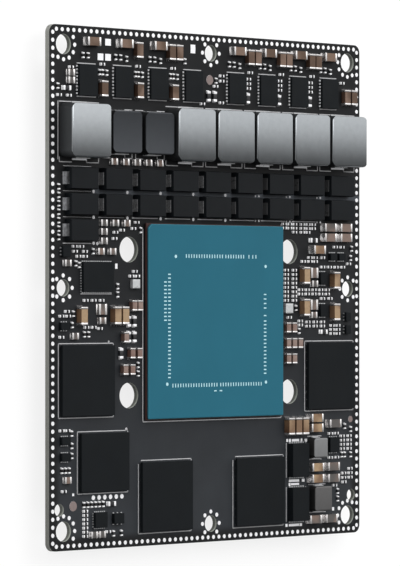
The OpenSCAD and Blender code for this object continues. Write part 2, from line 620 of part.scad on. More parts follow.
module screw_hole_vias() {
    mid_ring_r = mid_hole_d / 2 + mid_ring_gap;
    corner_ring_r = corner_hole_d / 2 + corner_ring_gap;
    color(solder_white) {
        for (hole = mid_holes) for (i = [1:mid_ring_count]) {
            turn = hole[2] + i * mid_ring_step;
            via_caps([hole[0] + mid_ring_r * cos(turn), hole[1] + mid_ring_r * sin(turn)]);
        }
        for (k = [0:3]) {
            inward = atan2(-CORNERS[k][1], -CORNERS[k][0]);
            for (turn = [-corner_ring_reach:corner_ring_step:corner_ring_reach])
                via_caps([corner_holes[k][0] + corner_ring_r * cos(inward + turn),
                          corner_holes[k][1] + corner_ring_r * sin(inward + turn)]);
        }
    }
}

// Processor and memory

module processor_substrate() {
    color([0.45, 0.22, 0.18]) on_board(processor_at) translate([0, 0, processor_ball_h])
        package(processor_size, processor_size, processor_substrate_t);
}

module processor_lid() {
    half = processor_size / 2 - processor_lid_margin;
    c = processor_corner_cut;
    color([0.19, 0.43, 0.5]) on_board(processor_at)
        translate([0, 0, processor_ball_h + processor_substrate_t]) linear_extrude(processor_lid_t)
            polygon([[-half, -half], [half, -half], [half, half], [c - half, half], [-half, half - c]]);
}

module processor_solder_balls() {
    field = processor_size - 2 * processor_ball_margin + processor_ball_d;
    color(bright_tin) on_board(processor_at)
        solder_balls(field, field, processor_ball_pitch, processor_ball_d, processor_ball_h);
}

module memory_chip(at, w, l) {
    color(mould_black) on_board(at) translate([0, 0, memory_ball_h]) package(w, l, memory_t);
}

module memory_solder_balls() {
    color(bright_tin) {
        for (at = [memory_left_at, memory_right_at, memory_lower_centre_at, memory_lower_right_at])
            on_board(at) solder_balls(memory_w, memory_l, memory_ball_pitch, memory_ball_d, memory_ball_h);
        on_board(storage_at)
            solder_balls(storage_w, storage_l, memory_ball_pitch, memory_ball_d, memory_ball_h);
    }
}

// Power conversion

module power_stage(i) {
    color(mould_black) on_board([stage_x[i - 1], stage_row_y]) package(stage_w, stage_l, stage_h);
}

module power_stage_leads() {
    color(bright_tin) for (x = stage_x)
        on_board([x, stage_row_y]) side_leads(stage_w, stage_l, power_lead_pitch, power_lead);
}

module phase_inductor(i) {
    size = inductors[i - 1][1];
    color(size[2] == inductor_h ? [0.6, 0.6, 0.61] : [0.27, 0.28, 0.29])
        on_board([inductors[i - 1][0], inductor_row_y])
            pressed_block(size[0], size[1], size[2], inductor_corner_r, inductor_edge_r);
}

module phase_inductor_terminals() {
    color(bright_tin) for (coil = inductors) on_board([coil[0], inductor_row_y])
        block_terminals(coil[1][1], inductor_terminal_w, coil[1][3], inductor_terminal_h);
}

// Moulded capacitor body: its sides lean in above and below the parting line
module bulk_body() {
    intersection() {
        rotate([90, 0, 0]) linear_extrude(bulk_w + 2 * cut, center = true) drafted_profile(bulk_l);
        rotate([90, 0, 90]) linear_extrude(bulk_l + 2 * cut, center = true) drafted_profile(bulk_w);
    }
}

module drafted_profile(w) {
    half = w / 2;
    low = half - bulk_draft;
    // The lower half of the ends is upright, so that the terminals lie flat on it
    polygon([[-half, 0], [half, 0], [half, bulk_terminal_h],
             [low, bulk_h], [-low, bulk_h], [-half, bulk_terminal_h]]);
}

module bulk_capacitors(places) {
    color(mould_black) for (at = places) on_board(at) bulk_body();
}

module bulk_capacitor_terminals() {
    color(bright_tin) for (at = concat(bulk_row(0), bulk_row(1), [bulk_left_end_at]))
        on_board(at) rotate(90) block_terminals(bulk_l, bulk_terminal_w, bulk_foot_l, bulk_terminal_h);
}

module converter(at) {
    color(mould_black) on_board(at) package(converter_w, converter_l, converter_h);
}

module converter_leads() {
    color(bright_tin) for (at = [converter_upper_at, converter_lower_at])
        on_board(at) end_leads(converter_w, converter_l, power_lead_pitch, power_lead);
}

module converter_inductor(at, size) {
    color([0.5, 0.5, 0.5]) on_board(at)
        pressed_block(size, size, coil_h, inductor_corner_r / 2, inductor_edge_r);
}

module converter_inductor_terminals() {
    color(bright_tin) {
        on_board(small_coil_at)
            block_terminals(small_coil_size, small_coil_size / 2, coil_terminal_reach, coil_h / 3);
        on_board(large_coil_at)
            block_terminals(large_coil_size, large_coil_size / 2, coil_terminal_reach, coil_h / 3);
    }
}

// Controllers and small chips

module power_controller() {
    color(mould_black) on_board(controller_at) package(controller_w, controller_l, chip_h);
}

module supervisor_chip() {
    color(mould_black) on_board(supervisor_at) package(supervisor_w, supervisor_l, chip_h);
}

module controller_leads() {
    color(bright_tin) {
        on_board(controller_at) all_round_leads(controller_w, controller_l, fine_lead_pitch, fine_lead);
        on_board(supervisor_at) all_round_leads(supervisor_w, supervisor_l, fine_lead_pitch, fine_lead);
    }
}

module small_chips() {
    color(mould_black) for (c = small_chips) on_board(c) package(c[2], c[3], chip_h);
}

module small_chip_leads() {
    color(bright_tin) for (c = small_chips) on_board(c) {
        if (c[4] == 0) side_leads(c[2], c[3], c[5], fine_lead);
        else end_leads(c[2], c[3], c[5], fine_lead);
    }
}

module crystal_oscillators() {
    color(solder_white) for (c = oscillators) on_board(c)
        pressed_block(c[2], c[3], chip_h, oscillator_edge_r, oscillator_edge_r);
}

// Capacitors, resistors and pads

module input_capacitors() {
    color([0.4, 0.31, 0.25]) {
        chip_bodies(input_cap_groups, input_cap);
        chip_bodies(entry_cap_groups, bypass_cap);
    }
}

module output_capacitors() {
    color([0.62, 0.48, 0.35]) chip_bodies(output_cap_groups, output_cap);
}

module bypass_capacitors() {
    color([0.45, 0.43, 0.42]) {
        chip_bodies(bypass_cap_groups, bypass_cap);
        chip_bodies(flat_cap_groups, flat_cap);
        chip_bodies(wide_cap_groups, wide_cap);
    }
}

module large_capacitor_ends() {
    color(solder_white) {
        all_chip_ends(input_cap_groups, input_cap);
        all_chip_ends(output_cap_groups, output_cap);
        all_chip_ends(concat(bypass_cap_groups, entry_cap_groups), bypass_cap);
    }
}

module medium_capacitors() {
    color([0.5, 0.42, 0.36]) chip_bodies(medium_cap_groups, medium_cap);
}

module medium_capacitor_ends() {
    color(solder_white) {
        all_chip_ends(medium_cap_groups, medium_cap);
        all_chip_ends(flat_cap_groups, flat_cap);
        all_chip_ends(wide_cap_groups, wide_cap);
    }
}

module small_capacitors() {
    color([0.4, 0.32, 0.27]) chip_bodies(small_cap_groups, small_chip);
}

module chip_resistors() {
    color(mould_black) {
        chip_bodies(medium_resistor_groups, medium_resistor);
        chip_bodies(resistor_groups, small_chip);
    }
}

module small_chip_ends() {
    color(solder_white) {
        all_chip_ends(concat(small_cap_groups, resistor_groups), small_chip);
        all_chip_ends(medium_resistor_groups, medium_resistor);
    }
}

module bare_pads() {
    color(solder_white) {
        for (pad = bare_pads) on_board(pad) package(pad[2], pad[3], via_cap_h);
        for (i = [0:test_pad_count - 1]) on_board(test_pad_first + [i * test_pad_pitch, 0])
            cylinder(d = test_pad_d, h = via_cap_h, $fn = small_fn);
        for (dot = fiducials) on_board(dot) cylinder(d = dot[2], h = via_cap_h, $fn = small_fn);
    }
}

// Connector on the back

module board_connector_housing() {
    pocket_w = connector_w - 2 * connector_wall;
    pocket_h = connector_h - connector_floor;
    color(mould_black) {
        difference() {
            linear_extrude(connector_h) rounded_rect(connector_w, connector_l, connector_wall / 2);
            translate([-pocket_w / 2, -contact_field_l / 2, -cut])
                cube([pocket_w, contact_field_l, pocket_h + cut]);
        }
        for (i = [1:contact_rows - 1])
            translate([(i - contact_rows / 2) * contact_row_pitch - rib_t / 2, -contact_field_l / 2,
                       rib_recess])
                cube([rib_t, contact_field_l, pocket_h - rib_recess]);
    }
}

module board_connector_contacts() {
    blade_h = connector_h - connector_floor - contact_recess;
    color([0.8, 0.66, 0.35]) for (i = [0:contact_rows - 1])
        translate([(i - (contact_rows - 1) / 2) * contact_row_pitch - contact_t / 2, 0, contact_recess])
            for (j = [0:contacts_per_row - 1])
                translate([0, (j - (contacts_per_row - 1) / 2) * contact_pitch - contact_w / 2, 0])
                    cube([contact_t, contact_w, blade_h]);
}

module back_capacitors() {
    color([0.5, 0.42, 0.36]) for (at = back_places) on_back(at) chip_body(medium_cap);
}

module back_capacitor_ends() {
    color(solder_white) for (at = back_places) on_back(at) chip_ends(medium_cap);
}

circuit_board();
edge_vias();
screw_hole_vias();
processor_substrate();
processor_lid();
processor_solder_balls();
memory_chip(memory_left_at, memory_w, memory_l);  // memory_left
memory_chip(memory_right_at, memory_w, memory_l);  // memory_right
memory_chip(memory_lower_centre_at, memory_w, memory_l);  // memory_lower_centre
memory_chip(memory_lower_right_at, memory_w, memory_l);  // memory_lower_right
memory_chip(storage_at, storage_w, storage_l);  // storage_chip
memory_solder_balls();
for (i = [1:8]) power_stage(i);
power_stage_leads();
for (i = [1:8]) phase_inductor(i);
phase_inductor_terminals();
bulk_capacitors(bulk_row(0));  // bulk_capacitors_upper_row
bulk_capacitors(bulk_row(1));  // bulk_capacitors_lower_row
bulk_capacitors([bulk_left_end_at]);  // bulk_capacitor_left_end
bulk_capacitor_terminals();
converter(converter_upper_at);  // converter_upper
converter(converter_lower_at);  // converter_lower
converter_leads();
converter_inductor(small_coil_at, small_coil_size);  // converter_inductor_upper
converter_inductor(large_coil_at, large_coil_size);  // converter_inductor_lower
converter_inductor_terminals();
power_controller();
supervisor_chip();
controller_leads();
small_chips();
small_chip_leads();
crystal_oscillators();
input_capacitors();
output_capacitors();
bypass_capacitors();
large_capacitor_ends();
medium_capacitors();
medium_capacitor_ends();
small_capacitors();
chip_resistors();
small_chip_ends();
bare_pads();
board_connector_housing();
board_connector_contacts();
back_capacitors();
back_capacitor_ends();
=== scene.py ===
"""Looks of a bare system on module: finishes, ink marks and a plain studio around its solids."""

import math
from typing import NamedTuple

import bmesh
import bpy
from bpy.props import FloatProperty, FloatVectorProperty, PointerProperty
from mathutils import Matrix, Vector


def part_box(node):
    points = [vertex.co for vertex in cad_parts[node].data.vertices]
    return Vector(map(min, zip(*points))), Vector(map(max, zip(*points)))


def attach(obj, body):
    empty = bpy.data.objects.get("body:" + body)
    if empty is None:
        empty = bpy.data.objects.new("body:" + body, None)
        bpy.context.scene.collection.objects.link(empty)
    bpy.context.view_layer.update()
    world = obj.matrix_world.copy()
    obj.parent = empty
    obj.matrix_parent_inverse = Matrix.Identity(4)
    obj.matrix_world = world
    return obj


bl_info = {
    "name": "Bare System on Module",
    "version": (1, 0, 0),
    "blender": (4, 5, 0),
    "location": "3D View > Sidebar > Module",
    "description": "Finishes, ink marks and a plain studio for a bare circuit module",
    "category": "Object",
}

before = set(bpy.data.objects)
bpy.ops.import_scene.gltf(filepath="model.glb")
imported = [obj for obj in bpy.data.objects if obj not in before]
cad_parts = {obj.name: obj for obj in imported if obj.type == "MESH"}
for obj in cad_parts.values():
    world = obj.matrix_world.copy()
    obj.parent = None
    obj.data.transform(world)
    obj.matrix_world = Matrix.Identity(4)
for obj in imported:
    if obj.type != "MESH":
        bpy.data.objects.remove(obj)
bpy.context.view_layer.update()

MM = 0.001
BODY = "root"
# Middle of the lane between the two rows of bulk capacitors, where the mask is painted paler as
# painted light
LANE_Y = 18.45 * MM
# Rows of pixels in the picture, which the camera's shift is worked out from
PICTURE_H = 566
# Colour sockets of a Mix node, which share their names with its other sockets
MIX_A, MIX_B, MIX_OUT = 6, 7, 2
# Middle part of a noise's range, which is stretched over the whole range
NOISE_LOW, NOISE_HIGH = 0.3, 0.7
# Upward part of the normal at which a wall ends and a level top begins
WALL_UP, TOP_UP = 0.1, 0.9
# A face is a wall where its normal's upward part is less than this
STEEP = 0.5
# Edges sharper than this are softened, once vertices this close are joined
SHARP_ANGLE = math.radians(40)
JOIN_GAP = 0.01 * MM
# Sides of a printed dot
DOT_SIDES = 20

STAGES = [f"power_stage_{i}" for i in range(1, 9)]
INDUCTORS = [f"phase_inductor_{i}" for i in range(1, 9)]
DARK_INDUCTORS = ["phase_inductor_2", "phase_inductor_3"]
MEMORIES = ["memory_left", "memory_right", "memory_lower_centre", "memory_lower_right"]
BULK_ROWS = ["bulk_capacitors_upper_row", "bulk_capacitors_lower_row", "bulk_capacitor_left_end"]
CONVERTERS = ["converter_upper", "converter_lower"]
CONVERTER_COILS = ["converter_inductor_upper", "converter_inductor_lower"]
CONTROLLERS = ["power_controller", "supervisor_chip"]


# Settings


def to_linear(channel):
    """One channel of a screen colour, 0 to 255, as the linear value that shaders use."""
    share = channel / 255
    return share / 12.92 if share <= 0.04045 else ((share + 0.055) / 1.055) ** 2.4


def colour(name, description, red, green, blue):
    """A colour setting, given as it looks on a screen."""
    return FloatVectorProperty(
        name=name, description=description, subtype="COLOR", min=0, max=1,
        default=[to_linear(red), to_linear(green), to_linear(blue)],
    )


def length(name, description, millimetres):
    """A size setting, given in millimetres and kept in metres."""
    return FloatProperty(
        name=name, description=description, unit="LENGTH", precision=5, min=0,
        default=millimetres * MM,
    )


def offset(name, description, millimetres):
    """A place along one axis, given in millimetres and kept in metres."""
    return FloatProperty(
        name=name, description=description, unit="LENGTH", default=millimetres * MM)


def spot(name, description, x, y, z):
    """A lamp's place, in metres."""
    return FloatVectorProperty(
        name=name, description=description, subtype="TRANSLATION", unit="LENGTH",
        default=(x, y, z))


def angle(name, description, degrees):
    """An angle setting, given in degrees."""
    return FloatProperty(
        name=name, description=description, subtype="ANGLE", default=math.radians(degrees))


def power(name, description, watts):
    """A lamp's power setting."""
    return FloatProperty(name=name, description=description, unit="POWER", min=0, default=watts)


def level(name, description, value):
    """A plain number setting."""
    return FloatProperty(name=name, description=description, default=value)


class ModuleColours(bpy.types.PropertyGroup):
    """Colours of the module's finishes"""

    solder_mask: colour("Solder mask", "Black mask on both faces of the board", 45, 48, 52)
    # Painted shade: the mask among the power parts is darkened as if shaded; it is also darker
    # along the edges.
    dark_edge_and_shade_mask: colour("Dark edge and shade mask", "Mask among the power parts and along the edges", 17, 18, 20)
    laminate_edge: colour("Laminate edge", "Bare glass fibre at the cut edges", 150, 151, 146)
    hole_wall: colour("Hole wall", "Plated walls of the holes", 172, 176, 168)
    solder: colour("Solder", "Tinned vias, pads and small chip ends", 248, 248, 250)
    cap_end: colour("Capacitor ends", "Fired silver ends of larger capacitors", 226, 223, 222)
    fiducial: colour("Alignment dots", "Bare copper of the alignment dots", 128, 113, 110)
    lead_tin: colour("Leads", "Leads and terminals", 192, 193, 195)
    substrate: colour("Package laminate", "Processor's substrate", 58, 30, 27)
    lid: colour("Processor lid", "Teal coating of the lid", 38, 101, 120)
    # Painted highlight: paler teal along the lid's rounded edges.
    lid_edge_highlight: colour("Lid highlight", "Paler coating along the lid's edges", 56, 120, 136)
    lid_mark: colour("Lid marks", "Pale ticks on the lid", 182, 224, 232)
    mould: colour("Chip mould", "Black mould of memory and other chips", 15, 19, 22)
    bulk_mould: colour("Capacitor mould", "Black mould of the bulk capacitors", 17, 20, 23)
    silver_core: colour("Silver core", "First large phase inductor", 160, 164, 167)
    # Painted shade: a darker copy of the silver core, for the other large inductors.
    shaded_core: colour("Shaded core", "Other large phase inductors", 149, 153, 156)
    dark_core: colour("Dark core", "Low phase inductors", 58, 61, 65)
    coil_ferrite: colour("Coil ferrite", "Smaller converter inductor", 128, 129, 130)
    dark_ferrite: colour("Dark ferrite", "Larger converter inductor", 94, 93, 93)
    oscillator_case: colour("Oscillator case", "Lids of the crystal oscillators", 200, 202, 203)
    brown_ceramic: colour("Brown ceramic", "Darker tone of the input capacitors", 92, 72, 58)
    umber_ceramic: colour("Umber ceramic", "Lighter tone of the input capacitors", 124, 102, 88)
    tan_ceramic: colour("Tan ceramic", "Lighter tone of the output capacitors", 168, 142, 112)
    amber_ceramic: colour("Amber ceramic", "Darker tone of the output capacitors", 126, 100, 78)
    grey_ceramic: colour("Grey ceramic", "Greyer tone of the bypass capacitors", 90, 87, 85)
    mauve_ceramic: colour("Mauve ceramic", "Pinker tone of the bypass capacitors", 128, 110, 101)
    pink_ceramic: colour("Pink ceramic", "Lighter tone of the medium capacitors", 144, 124, 115)
    red_ceramic: colour("Red ceramic", "Darker tone of the medium capacitors", 130, 106, 97)
    small_ceramic: colour("Small ceramic", "Ceramic of the smallest capacitors", 32, 29, 28)
    resistor: colour("Resistor", "Glazed top of the chip resistors", 24, 25, 28)
    connector: colour("Connector plastic", "Housing of the board connector", 26, 26, 28)
    gold: colour("Contact gold", "Contacts of the board connector", 222, 184, 112)
    ink: colour("Board ink", "Printed outlines on the board", 184, 184, 186)


class ModuleSizes(bpy.types.PropertyGroup):
    """Sizes of the printed marks and of softened edges"""

    ink_w: length("Ink line", "Width of a printed line", 0.18)
    thin_w: length("Thin line", "Width of the thin lines between the bulk capacitors", 0.09)
    ink_h: length("Ink height", "Height of the ink above its surface", 0.015)
    outline_gap: length("Outline gap", "Gap between a package and its printed outline", 0.34)
    package_edge: length("Package edge", "Softened edge of a moulded package", 0.07)
    chip_edge: length("Chip edge", "Softened edge of a small ceramic chip", 0.05)
    lid_edge: length("Lid edge", "Softened edge of the processor's lid", 0.22)
    tick_l: length("Tick length", "Length of a tick on the lid", 0.72)
    tick_w: length("Tick width", "Width of a tick on the lid", 0.24)
    notch_w: length("Terminal notch", "Gap in an inductor's outline at its terminal", 3.9)
    bracket_gap: length("Bracket gap", "Gap between an inductor and the line in front of it", 0.85)
    corner_gap: length("Corner gap", "Gap at the marked corner of an outline", 0.75)
    dot_d: length("Dot", "Diameter of a first-pin dot", 0.65)
    small_dot_d: length("Small dot", "Diameter of the smaller printed dots", 0.42)


class StageSettings(bpy.types.PropertyGroup):
    """Camera and lamps of the studio"""

    off_plumb: angle("View tilt", "Angle between the view and straight down, from the left", 45.2)
    distance: length("View distance", "Distance of the camera from the board", 742)
    target_x: offset("Target X", "Where the view meets the board", -3.0)
    target_y: offset("Target Y", "Where the view meets the board", -2.6)
    lens: FloatProperty(name="Lens", description="Focal length on the sensor's long side",
                        unit="CAMERA", default=239.8)
    sensor: FloatProperty(name="Sensor", description="Long side of the camera's sensor",
                          unit="CAMERA", default=36)
    horizon_row: level("Axis row", "Picture row of the camera's axis", 301.5)
    key_power: power("Key lamp", "Soft lamp above the board's upper end", 1.6)
    key_place: spot("Key place", "Where the key lamp hangs", 0.1, 0.38, 0.62)
    fill_power: power("Fill lamp", "Weak soft lamp on the left", 0.15)
    fill_place: spot("Fill place", "Where the fill lamp hangs", -0.6, 0.05, 0.4)
    lamp_size: length("Lamp size", "Side of each square lamp", 500)
    sky_bright: level("Bright sky", "Level of the sky past the upper end", 1.5)
    sky_dark: level("Dark sky", "Level of the sky past the lower end", 0.12)


def colours():
    return bpy.context.scene.module_colours


def sizes():
    return bpy.context.scene.module_sizes


# Node trees


def add(tree, kind, inputs=None, **settings):
    """Adds one node, sets it, and joins or fills its inputs."""
    node = tree.nodes.new(kind)
    for name, value in settings.items():
        setattr(node, name, value)
    fill(tree, node, inputs or {})
    return node


def fill(tree, node, inputs):
    """Joins or fills the named inputs of a node."""
    for name, value in inputs.items():
        if isinstance(value, bpy.types.NodeSocket):
            tree.links.new(value, node.inputs[name])
        else:
            node.inputs[name].default_value = value


def math_of(tree, operation, first, second=0.0):
    """Result of one Math node."""
    node = add(tree, "ShaderNodeMath", {0: first, 1: second}, operation=operation)
    return node.outputs[0]


def blend(tree, factor, first, second, kind="MIX"):
    """Result of one Mix node on two colours."""
    node = add(tree, "ShaderNodeMix", data_type="RGBA", blend_type=kind)
    fill(tree, node, {0: factor, MIX_A: first, MIX_B: second})
    return node.outputs[MIX_OUT]


def ramp(tree, value, start, end):
    """Soft step from 0 at one value to 1 at another."""
    node = add(tree, "ShaderNodeMapRange", {"Value": value, "From Min": start, "From Max": end},
               interpolation_type="SMOOTHSTEP")
    return node.outputs["Result"]


def rgba(rgb, factor=1.0):
    """A colour setting as a shader colour, made lighter or darker by a factor."""
    return [min(1.0, channel * factor) for channel in rgb] + [1.0]


def grey(share):
    """An even grey, as a shader colour."""
    return [share, share, share, 1.0]


def new_group(name, inputs, outputs):
    """An empty shader node group with named sockets, given as name and kind of value."""
    tree = bpy.data.node_groups.new(name, "ShaderNodeTree")
    for direction, sockets in (("INPUT", inputs), ("OUTPUT", outputs)):
        for label, kind in sockets.items():
            tree.interface.new_socket(label, in_out=direction, socket_type=f"NodeSocket{kind}")
    given = tree.nodes.new("NodeGroupInput").outputs
    return tree, given, tree.nodes.new("NodeGroupOutput").inputs


def cloud(tree, given, detail):
    """Noise in patches of the size that a group is given."""
    scale = math_of(tree, "DIVIDE", 1.0, given["Size"])
    inputs = {"Vector": given["Vector"], "Scale": scale, "Detail": detail}
    return add(tree, "ShaderNodeTexNoise", inputs).outputs["Fac"]


def grain_group():
    """Fine surface grain, as a height."""
    tree, given, out = new_group(
        "Grain", {"Vector": "Vector", "Size": "Float"}, {"Height": "Float"})
    tree.links.new(cloud(tree, given, 3.0), out["Height"])
    return tree


def mottle_group():
    """Soft cloudy change between two tones."""
    tree, given, out = new_group(
        "Mottle", {"Vector": "Vector", "Size": "Float", "Dark": "Color", "Light": "Color"},
        {"Color": "Color"})
    share = add(tree, "ShaderNodeMapRange", {
        "Value": cloud(tree, given, 4.0), "From Min": NOISE_LOW, "From Max": NOISE_HIGH})
    tone = blend(tree, share.outputs["Result"], given["Dark"], given["Light"])
    tree.links.new(tone, out["Color"])
    return tree


def handling_group():
    """Roughness that changes in soft patches, as handled and cleaned surfaces show."""
    tree, given, out = new_group(
        "Handling", {"Vector": "Vector", "Size": "Float", "Smooth": "Float", "Rough": "Float"},
        {"Roughness": "Float"})
    gloss = add(tree, "ShaderNodeMapRange", {
        "Value": cloud(tree, given, 2.0), "From Min": NOISE_LOW, "From Max": NOISE_HIGH,
        "To Min": given["Smooth"], "To Max": given["Rough"]})
    tree.links.new(gloss.outputs["Result"], out["Roughness"])
    return tree


def add_effect(tree, name, inputs):
    """Places one effect in a material with its own values, and builds its group on first use."""
    makers = {"Grain": grain_group, "Mottle": mottle_group, "Handling": handling_group}
    node = add(tree, "ShaderNodeGroup",
               node_tree=bpy.data.node_groups.get(name) or makers[name]())
    fill(tree, node, inputs)
    return node


# Finishes


class Look(NamedTuple):
    """How a plain finish is mixed. Sizes are in millimetres."""

    colour: str  # name of its colour setting
    spread: float  # how far its tone strays to either side, as a share
    patch: float  # size of a cloud of tone
    smooth: float  # lowest roughness
    rough: float  # highest roughness
    grain: float  # size of the surface grain
    depth: float  # depth of the surface grain
    metallic: float = 0.0
    specular: float = 0.5


class CoreLook(NamedTuple):
    """How a pressed core is finished."""

    colour: str  # name of its colour setting
    metallic: float
    smooth: float  # lowest roughness
    rough: float  # highest roughness
    tilt: float  # how far its crowned top leans at the front and the back
    # The wall share darkens the walls as painted shade.
    wall: float  # tone of its walls, as a share of the top's


LOOKS = {
    "Bare solder": Look("solder", 0.03, 0.5, 0.3, 0.45, 0.15, 0.004, metallic=0.3),
    "Alignment copper": Look("fiducial", 0.08, 0.5, 0.5, 0.6, 0.1, 0.003),
    "Package laminate": Look("substrate", 0.15, 0.6, 0.5, 0.65, 0.1, 0.004),
    "Processor balls": Look("solder", 0.1, 2.0, 0.4, 0.55, 0.08, 0.004, metallic=0.8),
    "Lid marks": Look("lid_mark", 0.05, 0.4, 0.5, 0.6, 0.05, 0.002),
    "Memory mould": Look("mould", 0.12, 3.0, 0.45, 0.6, 0.05, 0.004, specular=0.12),
    "Memory balls": Look("solder", 0.1, 2.0, 0.4, 0.55, 0.08, 0.004, metallic=0.8),
    "Stage mould": Look("mould", 0.12, 1.5, 0.45, 0.6, 0.05, 0.004, specular=0.12),
    "Stage lead tin": Look("solder", 0.05, 0.5, 0.25, 0.4, 0.1, 0.003, metallic=0.4),
    "Terminal tin": Look("lead_tin", 0.08, 0.8, 0.25, 0.4, 0.1, 0.003, metallic=1.0),
    "Bulk mould": Look("bulk_mould", 0.1, 1.5, 0.4, 0.55, 0.05, 0.004, specular=0.12),
    "Controller mould": Look("mould", 0.12, 1.5, 0.45, 0.6, 0.05, 0.004, specular=0.12),
    "Chip lead tin": Look("lead_tin", 0.08, 0.5, 0.25, 0.4, 0.1, 0.004, metallic=0.6),
    "Oscillator case": Look("oscillator_case", 0.05, 0.6, 0.25, 0.35, 0.1, 0.003, metallic=0.6),
    "Resistor glaze": Look("resistor", 0.1, 0.5, 0.25, 0.4, 0.08, 0.004),
    "Capacitor end silver": Look("cap_end", 0.05, 0.4, 0.18, 0.28, 0.1, 0.003, metallic=0.9),
    "Chip end tin": Look("solder", 0.05, 0.4, 0.25, 0.4, 0.1, 0.004, metallic=0.3),
    "Connector plastic": Look("connector", 0.1, 2.0, 0.45, 0.6, 0.06, 0.004),
    "Contact gold": Look("gold", 0.06, 0.5, 0.2, 0.32, 0.08, 0.002, metallic=1.0),
    "Board ink": Look("ink", 0.08, 0.6, 0.55, 0.7, 0.05, 0.002, specular=0.3),
}

CORE_LOOKS = {
    "Silver core": CoreLook("silver_core", 1.0, 0.2, 0.26, 0.24, 0.2),
    "Shaded silver core": CoreLook("shaded_core", 1.0, 0.2, 0.26, 0.27, 0.2),
    "Dark core": CoreLook("dark_core", 0.6, 0.36, 0.44, -0.12, 0.2),
    "Ferrite of converter_inductor_upper": CoreLook("coil_ferrite", 0.5, 0.4, 0.5, 0.06, 0.1),
    "Ferrite of converter_inductor_lower": CoreLook("dark_ferrite", 0.5, 0.4, 0.5, 0.06, 0.1),
}


class Finish:
    """One material under construction: its tree, its shader and its Object coordinates."""

    def __init__(self, name, metallic=0.0, specular=0.5):
        self.material = bpy.data.materials.new(name)
        self.material.use_nodes = True
        self.tree = self.material.node_tree
        self.shader = self.tree.nodes["Principled BSDF"]
        self.shader.inputs["Metallic"].default_value = metallic
        self.shader.inputs["Specular IOR Level"].default_value = specular
        self.coords = add(self.tree, "ShaderNodeTexCoord").outputs["Object"]

    def join(self, label, socket):
        """Joins a result to one of the shader's inputs."""
        self.tree.links.new(socket, self.shader.inputs[label])

    def tone(self, dark, light, size):
        """Cloudy colour between two tones."""
        node = add_effect(self.tree, "Mottle", {
            "Vector": self.coords, "Size": size, "Dark": dark, "Light": light})
        return node.outputs["Color"]

    def gloss(self, smooth, rough, size):
        """Roughness that changes in patches."""
        node = add_effect(self.tree, "Handling", {
            "Vector": self.coords, "Size": size, "Smooth": smooth, "Rough": rough})
        return node.outputs["Roughness"]

    def axes(self):
        """The X, Y and Z of the Object coordinates."""
        return add(self.tree, "ShaderNodeSeparateXYZ", {"Vector": self.coords}).outputs

    def facing_up(self, normal="Normal"):
        """The upward part of the surface's normal: 1 on a level top and 0 on a wall."""
        surface = add(self.tree, "ShaderNodeNewGeometry").outputs[normal]
        return add(self.tree, "ShaderNodeSeparateXYZ", {"Vector": surface}).outputs["Z"]

    def grain(self, size, depth, normal=None):
        """Fine grain as a bump of a given depth. Another normal may lie under it."""
        node = add_effect(self.tree, "Grain", {"Vector": self.coords, "Size": size})
        inputs = {"Height": node.outputs["Height"], "Strength": 1.0, "Distance": depth}
        if normal is not None:
            inputs["Normal"] = normal
        bump = add(self.tree, "ShaderNodeBump", inputs)
        self.join("Normal", bump.outputs["Normal"])


def plain_finish(name):
    """One of the listed looks, with cloudy tone, handled gloss and fine grain."""
    look = LOOKS[name]
    rgb = getattr(colours(), look.colour)
    finish = Finish(name, look.metallic, look.specular)
    dark, light = rgba(rgb, 1 - look.spread), rgba(rgb, 1 + look.spread)
    finish.join("Base Color", finish.tone(dark, light, look.patch * MM))
    finish.join("Roughness", finish.gloss(look.smooth, look.rough, 2 * look.patch * MM))
    finish.grain(look.grain * MM, look.depth * MM)
    return finish.material


def board_face(finish):
    """Mask colour: blacker by the edges, with painted shade among the power parts and painted
    light between the bulk capacitors.
    """
    tree, at = finish.tree, finish.axes()
    low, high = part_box("circuit_board")
    border_start, border_full = 3.2 * MM, 1.4 * MM
    off_x, off_y = math_of(tree, "ABSOLUTE", at["X"]), math_of(tree, "ABSOLUTE", at["Y"])
    beside = ramp(tree, off_x, high.x - border_start, high.x - border_full)
    along = ramp(tree, off_y, high.y - border_start, high.y - border_full)
    blackest_y = 22 * MM
    upper = ramp(tree, at["Y"], low.y, blackest_y)
    # Painted shade among the tall power parts at the upper end, joined with darker mask along the
    # edges
    dark_edge_or_shade = math_of(tree, "MAXIMUM", upper, math_of(tree, "MAXIMUM", beside, along))
    rgb = colours().solder_mask
    plain = finish.tone(rgba(rgb, 0.92), rgba(rgb, 1.1), size=6 * MM)
    mask = blend(tree, dark_edge_or_shade, plain, rgba(colours().dark_edge_and_shade_mask))
    # Painted light: a paler strip of mask in the lane between the rows of bulk capacitors, set
    # against the shade there.
    lane_edge, lane_full = 0.8 * MM, 0.4 * MM
    lane_start, lane_whole = -33 * MM, -31 * MM
    off_lane = math_of(tree, "ABSOLUTE", math_of(tree, "SUBTRACT", at["Y"], LANE_Y))
    painted_light_lane = math_of(tree, "MULTIPLY", ramp(tree, off_lane, lane_edge, lane_full),
                   ramp(tree, at["X"], lane_start, lane_whole))
    return blend(tree, painted_light_lane, mask, rgba(rgb, 2.0))


